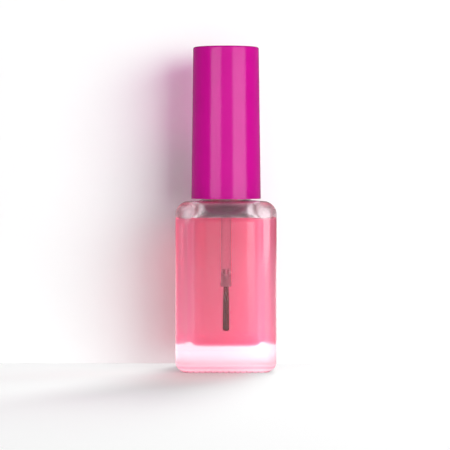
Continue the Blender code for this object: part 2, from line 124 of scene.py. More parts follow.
# Thread, the same on the neck and in the inner cap
THREAD_PITCH = 2.4 * MM
THREAD_HEIGHT = 0.7 * MM
THREAD_ROOT_WIDTH = 1.0 * MM
THREAD_CREST_WIDTH = 0.35 * MM
THREAD_FLANK = (THREAD_ROOT_WIDTH - THREAD_CREST_WIDTH) / 2
THREAD_SINK = 0.15 * MM
THREAD_FROM_RIM = 2.2 * MM
THREAD_FADE_TURNS = 0.12
THREAD_END_SHARE = 0.05
NECK_THREAD_TURNS = 1.75
NECK_THREAD_FOOT = GLASS[1].z - THREAD_FROM_RIM - NECK_THREAD_TURNS * THREAD_PITCH
CAP_THREAD_TURNS = 1.0
OPENING_TURNS = 1.5

# Overcap
CAP_WALL = 1.0 * MM
CAP_TAPER = 0.55 * MM
CAP_TOP_ROUND = 0.5 * MM
CAP_FOOT_ROUND = 0.15 * MM
CAP_RIB_COUNT = 8
CAP_RIB_DEPTH = 1.6 * MM
CAP_RIB_THICKNESS = 0.8 * MM
CAP_RIB_ROUND = CAP_RIB_THICKNESS / 4
CAP_RIB_LENGTH = 15.0 * MM

# Inner cap
INNER_CAP_BORE = 7.4 * MM
INNER_ROOF = 1.2 * MM
SLEEVE_HEIGHT = 3.6 * MM
INNER_ROOF_TOP = INNER_CAP[1].z - SLEEVE_HEIGHT
INNER_ROOF_FOOT = INNER_ROOF_TOP - INNER_ROOF
INNER_CAP_ROUND = 0.2 * MM
SLEEVE_BORE = 2.7 * MM
SLEEVE_WALL = 1.0 * MM

# Liner
LINER_BORE = 4.5 * MM
LINER_ROUND = 0.15 * MM

# Brush stem
STEM_RADIUS = 1.5 * MM
STEM_LIP = 0.1 * MM
STEM_LIP_HEIGHT = 1.1 * MM
STEM_ROUND = 0.2 * MM
BOSS_RADIUS = 2.4 * MM
BOSS_HEIGHT = 4.2 * MM
FLANGE_THICKNESS = 1.0 * MM
FLANGE_TOP = STEM[1].z - BOSS_HEIGHT
FLANGE_FOOT = FLANGE_TOP - FLANGE_THICKNESS
PLUG_RADIUS = 3.9 * MM
PLUG_LENGTH = 3.2 * MM
PLUG_FOOT = FLANGE_FOOT - PLUG_LENGTH
PLUG_TAPER = 2.6 * MM
SOCKET_RADIUS = 1.02 * MM
SOCKET_TOP = ANCHOR[1].z + GAP

# Tuft and its anchor; each strand's end is a little higher or lower than its neighbours'
STRAND_COUNT = 420
STRAND_SIDES = 5
STRAND_RADIUS = 0.034 * MM
STRAND_TIP_SHARE = 0.45
STRAND_CUT_SHARES = (0.3, 0.6, 0.85)
TUFT_RADIUS = 0.66 * MM
TUFT_SPREAD = 0.27 * MM
TUFT_TIP_DOME = 0.9 * MM
TIP_EVEN_SHARE = 0.6
TIP_UNEVEN_SHARE = 0.4
TIP_WAVE = 1.7
TUFT_ROOT = 2.4 * MM
STRAND_SUNK = TUFT_ROOT / 4
FOLD_RADIUS = 0.17 * MM
FOLD_OFFSET = ANCHOR[1].x + FOLD_RADIUS
FOLD_TOP = ANCHOR[1].z
FOLD_ROUND = 0.9 * FOLD_RADIUS
ANCHOR_ROUND = 0.12 * MM
ANCHOR_FOLD = 0.14 * MM

GOLDEN_ANGLE = pi * (3 - sqrt(5))

# Sharpest angle, in degrees, that still shades as one curve
SMOOTH_ANGLE = 35
STAPLE_SMOOTH_ANGLE = 50
TUFT_SMOOTH_ANGLE = 60

UNIT = (0.0, 1.0)
WHITE = (1.0, 1.0, 1.0)

# Roughness of the glass on its panels, and on its shoulder and base
CLEAR_SATIN = 0.05
SHOULDER_SATIN = 0.26
BASE_SATIN = 0.5

# Colour and roughness of the glass, by share of the body's height. The colour is painted light: the
# pink bands near the base are painted reflections of the oil, the panel is faintly pink, and the
# darker band at the shoulder is painted shade
GLASS_PAINTED_REFLECTION_AND_SHADE = (
    (0.006, (0.95, 0.30, 0.45)),
    (0.018, (1.0, 0.74, 0.80)),
    (0.032, (1.0, 0.24, 0.36)),
    (0.052, (1.0, 0.70, 0.79)),
    (0.170, (1.0, 0.78, 0.86)),
    (0.250, (1.0, 0.96, 0.98)),
    (0.900, (1.0, 0.96, 0.98)),
    (0.940, (0.69, 0.58, 0.62)),
)
GLASS_FINISH = ((0.06, BASE_SATIN), (0.20, CLEAR_SATIN), (0.86, CLEAR_SATIN), (0.93, SHOULDER_SATIN))
GLASS_BEND = 1.52
GLASS_WAVE_DEPTH = 0.2 * MM
GLASS_WAVE_STRENGTH = 0.12

# Share of light that the cavity's wall mirrors where oil wets it
WETTED_GLEAM = 0.04
WETTED_ROUGHNESS = 0.15

# Oil: its colour grows with its depth
OIL_BEND = 1.47
OIL_TINT = (1.0, 0.09, 0.39)
OIL_DENSITY = 114.0

# Darker and lighter colour of each piece, mixed in soft clouds
CLOUD_ENDS = (0.3, 0.7)
CAP_COLOURS = ((0.75, 0.001, 0.355), (0.79, 0.001, 0.375))
INNER_CAP_COLOURS = ((0.80, 0.79, 0.78), (0.86, 0.85, 0.84))
LINER_COLOURS = ((0.84, 0.83, 0.80), (0.90, 0.89, 0.86))
STEM_COLOURS = ((0.76, 0.74, 0.75), (0.84, 0.82, 0.83))
STAPLE_COLOURS = ((0.80, 0.78, 0.76), (0.90, 0.88, 0.86))
STRAND_COLOURS = ((0.22, 0.003, 0.04), (0.36, 0.014, 0.08))
STRAND_ENDS = (0.35, 0.65)
GRAIN_DEPTH = 0.01 * MM

# How far the staple's lines and the strands' tones are drawn out along the height
STAPLE_STRETCH = 0.05
STRAND_STRETCH = 0.03

# Light that the thin walls let through
GLASS_GLOW = (0.72, 0.70, 0.71)
CAP_GLOW = (0.72, 0.12, 0.62)
INNER_CAP_GLOW = (0.60, 0.60, 0.60)

# Milk of the stem: its share by height above the stem's end, and what its edges add
STEM_MILK_REACH = (STEM[0].z, STEM[0].z + 6.5 * MM)
STEM_MILK = ((0.0, 0.5), (0.2, 0.5), (0.7, 0.16), (1.0, 0.14))
STEM_EDGE_MILK = 0.2
STEM_EDGE_BLEND = 0.35

# The photograph's frame
VIEW_DISTANCE = 600 * MM
VIEW_HEIGHT = 55.1 * MM
VIEW_AIM = Vector((-0.28 * MM, 0.0, 39.9 * MM))
VIEW_LENS = 173.7
VIEW_SENSOR = 36.0
VIEW_CLIP = (0.01, 20.0)

# Floor and backdrop: each pair of glows is as seen directly and as seen through glass
PAPER_WHITE = (0.92, 0.92, 0.92)
FLOOR_SIZE = 6.0
FLOOR_GLOWS = (0.08, 0.13)
FLOOR_LIFT = 9.5
FLOOR_LIFT_REACH = (0.25, 1.1)
BACKDROP_GLOWS = (0.05, 0.82)
# Share of the backdrop's glow left at the top of the body: painted shade, darker towards the top, in
# place of the cap's shadow behind the upper oil
BACKDROP_PAINTED_SHADE = 0.38
BACKDROP_REACH = 0.26
BACKDROP_PLACE = GLASS[1].y + 4.0 * MM

# White room around the studio: its light, and how bright it looks through glass
ROOM_STRENGTH = 0.2
ROOM_THROUGH = 0.27

# Lamps and cards, all at one distance from the bottle's middle. Each has its turn and lift in
# degrees (turn 0 is the camera's side, 90 its right), its width, height and radiance, the kinds
# of light that leave it out, and the group of surfaces that it falls on
LAMP_DISTANCE = 0.8
LAMP_AIM = Vector((0, 0, 0.045))
LAMPS = (
    ("key_softbox", 16, 14, 0.9, 0.6, 1.8, ("glossy",), "lit_pieces"),
    ("cap_right_card", 47, -2, 0.7, 0.33, 4.7, ("diffuse",), "lit_cap"),
    ("cap_left_card", -35, 4.7, 0.52, 0.16, 4.6, ("diffuse",), "lit_cap"),
    ("glass_right_card", 47, 5, 0.7, 0.7, 4.8, ("diffuse",), "lit_glass"),
    ("glass_left_card", -35, 16.5, 0.52, 0.5, 4.6, ("diffuse", "transmission"), "lit_glass"),
    ("overhead_softbox", 120, 55, 0.5, 0.5, 3.0, ("diffuse", "glossy"), None),
    ("back_softbox", 155, 42, 0.5, 0.4, 2.4, ("glossy", "transmission"), "lit_pieces"),
    ("wall_softbox", 38, 10, 0.6, 0.5, 7.7, (), "lit_stage"),
    ("ground_softbox", 162, 42, 0.3, 0.29, 20.4, (), "lit_stage"),
    ("side_softbox", 112, 30, 0.3, 0.3, 4.4, (), "lit_stage"),
)


def deselect():
    bpy.ops.object.select_all(action="DESELECT")


def activate(piece):
    """Select a piece alone and make it the active one."""
    deselect()
    piece.select_set(True)
    bpy.context.view_layer.objects.active = piece


def start_edit(piece):
    activate(piece)
    bpy.ops.object.mode_set(mode="EDIT")
    bpy.ops.mesh.select_mode(type="VERT")
    bpy.ops.mesh.select_all(action="SELECT")


def end_edit():
    bpy.ops.object.mode_set(mode="OBJECT")


def pick(piece, kind, test):
    """In edit mode, select the vertices, edges or faces that pass the test, and nothing else."""
    bpy.ops.mesh.select_mode(type=kind)
    bpy.ops.mesh.select_all(action="DESELECT")
    shape = bmesh.from_edit_mesh(piece.data)
    items = {"VERT": shape.verts, "EDGE": shape.edges, "FACE": shape.faces}[kind]
    for item in [i for i in items if test(i)]:
        item.select_set(True)
    shape.select_flush_mode()
    bmesh.update_edit_mesh(piece.data)


def at_height(height):
    """A test that an edge or a face lies level at a height."""
    return lambda item: all(abs(v.co.z - height) < NEAR for v in item.verts)


def is_corner(edge):
    """Does the edge lie between a level face and an upright one?"""
    slopes = [abs(f.normal.z) for f in edge.link_faces]
    return len(slopes) == 2 and max(slopes) > LEVEL and min(slopes) < UPRIGHT


def round_edges(radius, steps, profile=ROUND_PROFILE):
    """Round the selected edges."""
    bpy.ops.mesh.bevel(offset=radius, segments=steps, profile=profile, affect="EDGES")


def cut_through(place, axis, keep_below=False):
    """Cut all of a mesh along a plane; keep_below drops what lies beyond and closes the cut."""
    bpy.ops.mesh.select_all(action="SELECT")
    bpy.ops.mesh.bisect(plane_co=place, plane_no=axis, use_fill=keep_below, clear_outer=keep_below)


def face_out():
    """Turn all faces outwards."""
    bpy.ops.mesh.select_all(action="SELECT")
    bpy.ops.mesh.normals_make_consistent(inside=False)


def spin_round(steps):
    """Spin the selected outline once about the axis, and merge its seam and poles."""
    bpy.ops.mesh.spin(steps=steps, angle=tau, center=(0, 0, 0), axis=(0, 0, 1))
    bpy.ops.mesh.select_all(action="SELECT")
    bpy.ops.mesh.remove_doubles(threshold=SEAM)


def named(name):
    """The primitive just added, named, with its place and size in its mesh."""
    piece = bpy.context.object
    piece.name = piece.data.name = name
    bpy.ops.object.transform_apply(location=True, rotation=True, scale=True)
    return piece


def apply_all(piece):
    activate(piece)
    for modifier in list(piece.modifiers):
        bpy.ops.object.modifier_apply(modifier=modifier.name)


def boolean(piece, tool, operation):
    """Cut or join a tool, then remove it."""
    modifier = piece.modifiers.new("Boolean", "BOOLEAN")
    modifier.operation = operation
    modifier.solver = "EXACT"
    modifier.object = tool
    apply_all(piece)
    bpy.data.objects.remove(tool, do_unlink=True)


def joined(pieces):
    deselect()
    for piece in pieces:
        piece.select_set(True)
    bpy.context.view_layer.objects.active = pieces[0]
    bpy.ops.object.join()
    return pieces[0]


def smooth(piece, degrees=SMOOTH_ANGLE, weighted=False):
    """Smooth shading up to an angle; weighted keeps large flat faces flat up to their edges."""
    activate(piece)
    bpy.ops.object.shade_smooth_by_angle(angle=radians(degrees))
    if weighted:
        modifier = piece.modifiers.new("Weighted", "WEIGHTED_NORMAL")
        modifier.keep_sharp = True
        bpy.ops.object.modifier_apply(modifier=modifier.name)
    return piece


def arc(centre, radius, start, end, steps=ROUND_STEPS):
    """Points of an arc in the XZ plane, its angles in quarter turns from +X."""
    angles = [(start + (end - start) * i / steps) * pi / 2 for i in range(steps + 1)]
    return [(centre[0] + radius * cos(a), centre[1] + radius * sin(a)) for a in angles]


def draw_profile(name, points, closed):
    """An outline of edges in the XZ plane, drawn from its first point by extruding a vertex."""
    at = Vector((points[0][0], 0.0, points[0][1]))
    bpy.ops.mesh.primitive_plane_add(size=MM, location=at)
    piece = named(name)
    start_edit(piece)
    bpy.ops.mesh.merge(type="CENTER")
    for radius, height in points[1:]:
        step = Vector((radius, 0.0, height)) - at
        bpy.ops.mesh.extrude_vertices_move(TRANSFORM_OT_translate={"value": step})
        at = at + step
    if closed:
        pick(piece, "VERT", lambda v: len(v.link_edges) == 1)
        bpy.ops.mesh.edge_face_add()
    bpy.ops.mesh.select_all(action="SELECT")
    return piece


def turned(name, points, steps, closed=False):
    """A turned piece: its outline spun about the axis."""
    piece = draw_profile(name, points, closed)
    spin_round(steps)
    face_out()
    end_edit()
    return piece


def rounded_block(name, width, foot, top, edge_radius, top_radius, foot_radius,
                  foot_profile=ROUND_PROFILE):
    """A square block with rounded edges, cut into strips so that its rims have many points."""
    bpy.ops.mesh.primitive_cube_add(
        size=1, location=(0, 0, (foot + top) / 2), scale=(width, width, top - foot)
    )
    piece = named(name)
    start_edit(piece)
    reach = width / 2 - edge_radius - max(top_radius, foot_radius) / 4
    for axis in ((1, 0, 0), (0, 1, 0)):
        for i in range(SIDE_CUTS):
            cut_through(Vector(axis) * reach * (2 * i / (SIDE_CUTS - 1) - 1), axis)
    half = width / 2 - NEAR
    pick(piece, "EDGE", lambda e: all(min(abs(v.co.x), abs(v.co.y)) > half for v in e.verts))
    round_edges(edge_radius, EDGE_STEPS)
    ends = ((top, top_radius, ROUND_PROFILE), (foot, foot_radius, foot_profile))
    for height, radius, profile in ends:
        if radius > 0:
            pick(piece, "EDGE", lambda e: at_height(height)(e) and is_corner(e))
            round_edges(radius, RIM_STEPS, profile)
    end_edit()
    return piece


def open_top(block, top):
    """Take off the level faces on top of a block."""
    start_edit(block)
    pick(block, "FACE", at_height(top))
    bpy.ops.mesh.delete(type="FACE")
    end_edit()


def lead_to_ring(piece, height, radius, ring_height):
    """Lead an open square rim over to a level ring with as many points, in a few even steps."""
    start_edit(piece)
    pick(piece, "EDGE", lambda e: e.is_boundary and at_height(height)(e))
    half_step = pi / NECK_STEPS
    for step in range(LEAD_STEPS):
        bpy.ops.mesh.extrude_edges_move()
        shape = bmesh.from_edit_mesh(piece.data)
        rim = sorted([v for v in shape.verts if v.select],
                     key=lambda v: (atan2(v.co.y, v.co.x) + half_step) % tau)
        for i, vertex in enumerate(rim):
            angle = tau * i / len(rim)
            aim = Vector((radius * cos(angle), radius * sin(angle), ring_height))
            vertex.co = vertex.co.lerp(aim, 1 / (LEAD_STEPS - step))
        bmesh.update_edit_mesh(piece.data)
    end_edit()


def thread_ridge(name, root, crest, foot, first_turn, turns):
    """A right-hand ridge, wound from a trapezium, that sinks into its wall at both ends."""
    outwards = 1 if crest > root else -1
    slope = THREAD_FLANK / abs(crest - root)
    sunk = root - outwards * THREAD_SINK
    sunk_half = THREAD_ROOT_WIDTH / 2 + slope * THREAD_SINK
    crest_half = THREAD_CREST_WIDTH / 2
    piece = draw_profile(name, [
        (crest, foot + crest_half),
        (crest, foot - crest_half),
        (sunk, foot - sunk_half),
        (sunk, foot + sunk_half),
    ], closed=True)
    end_edit()
    screw = piece.modifiers.new("Wound", "SCREW")
    screw.angle = tau * turns
    screw.screw_offset = THREAD_PITCH * turns
    screw.steps = screw.render_steps = round(NECK_STEPS * turns)
    screw.use_merge_vertices = False
    apply_all(piece)
    fade_ends(piece, sunk, foot, turns)
    start_edit(piece)
    pick(piece, "EDGE", lambda e: e.is_boundary)
    bpy.ops.mesh.edge_face_add()
    face_out()
    end_edit()
    piece.data.transform(Matrix.Rotation(tau * first_turn, 4, "Z"))
    return piece


def fade_ends(piece, sunk, foot, turns):
    """Lower the crest towards the wall near both ends of a ridge that starts at +X."""
    for vertex in piece.data.vertices:
        radius = vertex.co.to_2d().length
        angle = Vector((1, 0)).angle_signed(vertex.co.to_2d(), 0.0)
        level = (vertex.co.z - foot) / THREAD_PITCH
        around = -angle / tau
        wound = around + round(level - around)
        inside = min(wound, turns - wound) / THREAD_FADE_TURNS
        share = max(THREAD_END_SHARE, min(1.0, inside))
        if share < 1 and abs(radius - sunk) > NEAR:
            aim = sunk + (radius - sunk) * sin(share * pi / 2)
            vertex.co.x *= aim / radius
            vertex.co.y *= aim / radius


def tooth_outline():
    """Outline of a bar below the glass with a scalloped top, one arch for each tooth."""
    chord = TOOTH_PITCH / 2
    radius = (chord ** 2 + TOOTH_HEIGHT ** 2) / (2 * TOOTH_HEIGHT)
    reach = TOOTH_PITCH * TOOTH_COUNT / 2
    points = [(-reach, -MM)]
    for i in range(TOOTH_COUNT * TOOTH_STEPS + 1):
        tooth = min(i // TOOTH_STEPS, TOOTH_COUNT - 1)
        middle = (tooth - (TOOTH_COUNT - 1) / 2) * TOOTH_PITCH
        across = chord * (2 * (i - tooth * TOOTH_STEPS) / TOOTH_STEPS - 1)
        points.append((middle + across, radius - sqrt(radius ** 2 - across ** 2)))
    points.append((reach, -MM))
    return points


def teeth_cutters():
    """Scalloped bars that leave a row of rounded teeth along each base edge."""
    half = GLASS[1].x
    inner = half - HEEL_RADIUS - TOOTH_REACH
    bars = []
    for side in range(4):
        bar = draw_profile("teeth_cutter", tooth_outline(), closed=True)
        bpy.ops.mesh.edge_face_add()
        bpy.ops.mesh.extrude_region_move(TRANSFORM_OT_translate={"value": (0, -half, 0)})
        face_out()
        end_edit()
        bar.data.transform(Matrix.Rotation(side * pi / 2, 4, "Z") @ Matrix.Translation((0, -inner, 0)))
        bars.append(bar)
    return bars


def neck_wall():
    """The neck's wall, from its foot over the rim and down the bore to the cavity's mouth."""
    rim = GLASS[1].z
    foot_centre = (NECK_RADIUS + NECK_FILLET, NECK_FOOT_Z + NECK_FILLET)
    flare = BORE_MOUTH_RADIUS - BORE_RADIUS
    points = [
        *arc(foot_centre, NECK_FILLET, -1, -2, LARGE_ROUND_STEPS),
        *arc((NECK_RADIUS - RIM_ROUND, rim - RIM_ROUND), RIM_ROUND, 0, 1, LARGE_ROUND_STEPS),
        *arc((BORE_RADIUS + RIM_ROUND, rim - RIM_ROUND), RIM_ROUND, 1, 2, LARGE_ROUND_STEPS),
    ]
    for i in range(RIM_STEPS + 1):
        turn = i / RIM_STEPS * pi / 2
        points.append((BORE_RADIUS + flare * (1 - cos(turn)),
                       CAVITY_TOP + BORE_MOUTH_HEIGHT * (1 - sin(turn))))
    neck = draw_profile("neck_wall", points, closed=False)
    spin_round(NECK_STEPS)
    end_edit()
    return neck


def cavity_block(name, overlap):
    """The shape of the cavity; the overlap makes it reach a little way into the glass."""
    width = OIL[1].x - OIL[0].x + 2 * (GAP + overlap)
    return rounded_block(name, width, OIL[0].z - GAP - overlap, CAVITY_TOP + overlap,
                         CAVITY_EDGE_RADIUS, CAVITY_ROOF_RADIUS, CAVITY_FLOOR_RADIUS)


def make_glass():
    """One closed wall of glass: body, neck, rim, bore and cavity, with thread and base teeth."""
    body = rounded_block("bottle_glass", GLASS[1].x - GLASS[0].x, 0.0, BODY_TOP,
                         BODY_EDGE_RADIUS, SHOULDER_RADIUS, HEEL_RADIUS, HEEL_PROFILE)
    cavity = cavity_block("cavity_wall", 0.0)
    open_top(body, BODY_TOP)
    open_top(cavity, CAVITY_TOP)
    neck = neck_wall()
    lead_to_ring(body, BODY_TOP, NECK_RADIUS + NECK_FILLET, NECK_FOOT_Z)
    lead_to_ring(cavity, CAVITY_TOP, BORE_MOUTH_RADIUS, CAVITY_TOP)
    glass = joined([body, neck, cavity])
    start_edit(glass)
    bpy.ops.mesh.remove_doubles(threshold=SEAM)
    face_out()
    cut_through((0, 0, OIL[1].z), (0, 0, 1))
    end_edit()
    thread = thread_ridge("neck_thread", NECK_RADIUS, NECK_RADIUS + THREAD_HEIGHT,
                          NECK_THREAD_FOOT, 0.0, NECK_THREAD_TURNS)
    boolean(glass, thread, "UNION")
    recess = rounded_block("recess_cutter", RECESS_WIDTH, -MM, RECESS_DEPTH,
                           RECESS_EDGE_RADIUS, RECESS_ROOF_RADIUS, 0.0)
    for cutter in (recess, *teeth_cutters()):
        boolean(glass, cutter, "DIFFERENCE")
    return smooth(glass, weighted=True)


def make_oil():
    """The oil wets the glass: its wall lies just inside the glass, its top has a meniscus."""
    level = OIL[1].z
    oil = cavity_block("oil_fill", OIL_OVERLAP)
    start_edit(oil)
    cut_through((0, 0, level), (0, 0, 1), keep_below=True)
    pick(oil, "FACE", at_height(level))
    dips = [cos(i / MENISCUS_STEPS * pi / 2) for i in range(MENISCUS_STEPS + 1)]
    for above, below in zip(dips, dips[1:]):
        bpy.ops.mesh.inset(thickness=MENISCUS_WIDTH / MENISCUS_STEPS, use_even_offset=True)
        bpy.ops.transform.translate(value=(0, 0, -MENISCUS_HEIGHT * (above - below)))
    end_edit()
    return smooth(oil, weighted=True)


def cap_radius(height):
    """Outer radius of the overcap at a height: a straight taper."""
    share = (height - CAP[0].z) / (CAP[1].z - CAP[0].z)
    return CAP[1].x - CAP_TAPER * share


def cap_rib(number):
    """An upright rib that grips the inner cap, with softened inner edges."""
    foot = INNER_ROOF_TOP + GAP
    outer = cap_radius(foot) - CAP_WALL / 2
    inner = cap_radius(foot + CAP_RIB_LENGTH) - CAP_WALL - CAP_RIB_DEPTH
    bpy.ops.mesh.primitive_cube_add(
        size=1,
        location=((outer + inner) / 2, 0, foot + CAP_RIB_LENGTH / 2),
        scale=(outer - inner, CAP_RIB_THICKNESS, CAP_RIB_LENGTH),
    )
    rib = named("cap_rib")
    start_edit(rib)
    pick(rib, "EDGE", lambda e: all(abs(v.co.x - inner) < NEAR for v in e.verts))
    round_edges(CAP_RIB_ROUND, SMALL_ROUND_STEPS)
    end_edit()
    rib.data.transform(Matrix.Rotation(tau * (number + 0.5) / CAP_RIB_COUNT, 4, "Z"))
    return rib


def make_overcap():
    """Tapered shell with a flat top, and ribs inside it."""
    foot, top = CAP[0].z, CAP[1].z
    wide, narrow = cap_radius(foot), cap_radius(top)
    soft, rim = CAP_TOP_ROUND, CAP_FOOT_ROUND
    cap = turned("overcap_shell", [
        (0.0, top),
        *arc((narrow - soft, top - soft), soft, 1, 0, LARGE_ROUND_STEPS),
        *arc((wide - rim, foot + rim), rim, 0, -1),
        *arc((wide - CAP_WALL + rim, foot + rim), rim, -1, -2),
        *arc((narrow - CAP_WALL - soft, top - CAP_WALL - soft), soft, 0, 1),
        (0.0, top - CAP_WALL),
    ], CAP_STEPS)
    boolean(cap, joined([cap_rib(i) for i in range(CAP_RIB_COUNT)]), "UNION")
    return smooth(cap, weighted=True)


def make_inner_cap():
    """Threaded cup that follows the overcap's taper, with a sleeve for the stem's boss."""
    foot, top, soft = INNER_CAP[0].z, INNER_CAP[1].z, INNER_CAP_ROUND
    shrink = CAP_WALL + GAP
    wide = cap_radius(foot) - shrink
    shoulder = cap_radius(INNER_ROOF_TOP) - shrink
    sleeve = SLEEVE_BORE + SLEEVE_WALL
    cup = turned("threaded_inner_cap", [
        *arc((shoulder - soft, INNER_ROOF_TOP - soft), soft, 1, 0),
        *arc((wide - soft, foot + soft), soft, 0, -1),
        *arc((INNER_CAP_BORE + soft, foot + soft), soft, -1, -2),
        (INNER_CAP_BORE, INNER_ROOF_FOOT),
        (SLEEVE_BORE, INNER_ROOF_FOOT),
        *arc((SLEEVE_BORE + soft, top - soft), soft, 2, 1),
        *arc((sleeve - soft, top - soft), soft, 1, 0),
        *arc((sleeve + soft, INNER_ROOF_TOP + soft), soft, -2, -1),
    ], NECK_STEPS, closed=True)
    below = THREAD_ROOT_WIDTH - THREAD_FLANK * (INNER_CAP_BORE - NECK_RADIUS) / THREAD_HEIGHT + GAP
    first = NECK_THREAD_TURNS - OPENING_TURNS
    thread = thread_ridge("cap_thread", INNER_CAP_BORE, INNER_CAP_BORE - THREAD_HEIGHT,
                          NECK_THREAD_FOOT + first * THREAD_PITCH - below, first, CAP_THREAD_TURNS)
    boolean(cup, thread, "UNION")
    return smooth(cup, weighted=True)


def make_liner():
    foot, top, outer, soft = LINER[0].z, LINER[1].z, LINER[1].x, LINER_ROUND
    return smooth(turned("rim_liner", [
        *arc((outer - soft, top - soft), soft, 1, 0),
        *arc((outer - soft, foot + soft), soft, 0, -1),
        *arc((LINER_BORE + soft, foot + soft), soft, -1, -2),
        *arc((LINER_BORE + soft, top - soft), soft, 2, 1),
    ], NECK_STEPS, closed=True))


def make_stem():
    """Boss, flange, neck plug, rod, and the open socket that holds the tuft."""
    end, top, flange, soft = STEM[0].z, STEM[1].z, STEM[1].x, STEM_ROUND
    lip = STEM_RADIUS + STEM_LIP
    return smooth(turned("brush_rod_moulding", [
        (0.0, top),
        *arc((BOSS_RADIUS - soft, top - soft), soft, 1, 0),
        (BOSS_RADIUS, FLANGE_TOP),
        *arc((flange - soft, FLANGE_TOP - soft), soft, 1, 0),
        *arc((flange - soft, FLANGE_FOOT + soft), soft, 0, -1),
        (PLUG_RADIUS, FLANGE_FOOT),
        *arc((PLUG_RADIUS - soft, PLUG_FOOT + soft), soft, 0, -0.6, SMALL_ROUND_STEPS),
        *arc((STEM_RADIUS + soft, PLUG_FOOT - PLUG_TAPER + soft), soft, -1.5, -2, SMALL_ROUND_STEPS),
        (STEM_RADIUS, end + STEM_LIP_HEIGHT + STEM_LIP),
        (lip, end + STEM_LIP_HEIGHT),
        *arc((lip - soft, end + soft), soft, 0, -1),
        (SOCKET_RADIUS, end),
        (SOCKET_RADIUS, SOCKET_TOP),
        (0.0, SOCKET_TOP),
    ], STEM_STEPS))


def make_anchor():
    """A strip of flat wire folded into a staple: two rounded legs with a fold between them."""
    low, high = ANCHOR
    bpy.ops.mesh.primitive_cube_add(size=1, location=(low + high) / 2, scale=high - low)
    staple = named("folded_staple")
    start_edit(staple)
    round_edges(ANCHOR_ROUND, ROUND_STEPS)
    pick(staple, "FACE", lambda f: abs(f.normal.y) > 0.99)
    bpy.ops.mesh.inset(thickness=ANCHOR_FOLD, use_individual=True)
    bpy.ops.mesh.inset(thickness=ANCHOR_FOLD / 2, depth=-ANCHOR_FOLD, use_individual=True)
    end_edit()
    return smooth(staple, STAPLE_SMOOTH_ANGLE)


def tuft_root(top):
    """The bound root of the tuft, with softened ends."""
    bpy.ops.mesh.primitive_cylinder_add(
        vertices=STEM_STEPS, radius=SOCKET_RADIUS - GAP,
        depth=TUFT_ROOT, location=(0, 0, top - TUFT_ROOT / 2)
    )
    root = named("brush_tuft")
    start_edit(root)
    pick(root, "EDGE", lambda e: at_height(top)(e) or at_height(top - TUFT_ROOT)(e))
    round_edges(ANCHOR_ROUND, SMALL_ROUND_STEPS)
    end_edit()
    return root


def tuft_fold(side, top):
    """The strands folded over the staple, on one side of it."""
    bpy.ops.mesh.primitive_cylinder_add(
        vertices=FOLD_STEPS, radius=FOLD_RADIUS, depth=FOLD_TOP - top + FOLD_RADIUS,
        location=(side * FOLD_OFFSET, 0, (FOLD_TOP + top - FOLD_RADIUS) / 2)
    )
    fold = named("tuft_fold")
    start_edit(fold)
    pick(fold, "EDGE", at_height(FOLD_TOP))
    round_edges(FOLD_ROUND, ROUND_STEPS)
    end_edit()
    return fold


def bend_strand(pattern, number):
    """A copy of the pattern strand, from the root outwards and down to its own tip."""
    share = sqrt((number + 0.5) / STRAND_COUNT)
    angle = number * GOLDEN_ANGLE
    outwards = Vector((cos(angle), sin(angle), 0))
    strand = pattern.copy()
    strand.data = pattern.data.copy()
    bpy.context.collection.objects.link(strand)
    start = STEM[0].z + STRAND_SUNK
    uneven = TIP_EVEN_SHARE + TIP_UNEVEN_SHARE * sin(number * TIP_WAVE)
    length = start - TUFT[0].z - TUFT_TIP_DOME * share ** 2 * uneven
    for vertex in strand.data.vertices:
        along = 0.5 - vertex.co.z
        thick = STRAND_RADIUS * (1 - (1 - STRAND_TIP_SHARE) * along ** 2)
        offset = TUFT_RADIUS * share + TUFT_SPREAD * share * sin(along * pi / 2)
        centre = outwards * offset + Vector((0, 0, start - length * along))
        vertex.co = centre + Vector((vertex.co.x, vertex.co.y, 0)) * thick
    return strand


def make_tuft():
    """Fine strands that spread from the root, so that none crosses another."""
    bpy.ops.mesh.primitive_cylinder_add(vertices=STRAND_SIDES, radius=1, depth=1)
    pattern = named("strand")
    start_edit(pattern)
    for share in STRAND_CUT_SHARES:
        cut_through((0, 0, share - 0.5), (0, 0, 1))
    end_edit()
    strands = [bend_strand(pattern, i) for i in range(STRAND_COUNT)]
    bpy.data.objects.remove(pattern, do_unlink=True)
    top = TUFT[1].z
    root = tuft_root(top)
    folds = [tuft_fold(side, top) for side in (-1, 1)]
    return smooth(joined([root, *folds, *strands]), TUFT_SMOOTH_ANGLE)


def set_inputs(node, values):
    """Write numbers and colours on a node's sockets."""
    for socket, value in values.items():
        node.inputs[socket].default_value = value


def opaque(colour):
    return (*colour, 1.0)


def new_material(name, values):
    """A Principled material with its values, its tree, and Object coordinates for its pattern."""
    material = bpy.data.materials.new(name)
    material.use_nodes = True
    tree = material.node_tree
    shader = tree.nodes["Principled BSDF"]
    set_inputs(shader, values)
    place = tree.nodes.new("ShaderNodeTexCoord")
    return material, tree, shader, place.outputs["Object"]


def add_noise(tree, place, scale, detail):
    noise = tree.nodes.new("ShaderNodeTexNoise")
    set_inputs(noise, {"Scale": scale, "Detail": detail, "Roughness": 0.5})
    tree.links.new(place, noise.inputs["Vector"])
    return noise.outputs["Fac"]


def add_stretch(tree, place, share):
    """Object coordinates that draw a pattern out along the height."""
    stretch = tree.nodes.new("ShaderNodeMapping")
    set_inputs(stretch, {"Scale": (1.0, 1.0, share)})
    tree.links.new(place, stretch.inputs["Vector"])
    return stretch.outputs["Vector"]


def add_ramp(tree, value, stops):
    """Colours along a value, from (position, colour) stops; a single number is a grey."""
    ramp = tree.nodes.new("ShaderNodeValToRGB")
    points = ramp.color_ramp.elements
    while len(points) < len(stops):
        points.new(1.0)
    for point, (position, colour) in zip(points, stops):
        point.position = position
        point.color = opaque((colour,) * 3 if isinstance(colour, float) else colour)
    tree.links.new(value, ramp.inputs["Fac"])
    return ramp.outputs["Color"]


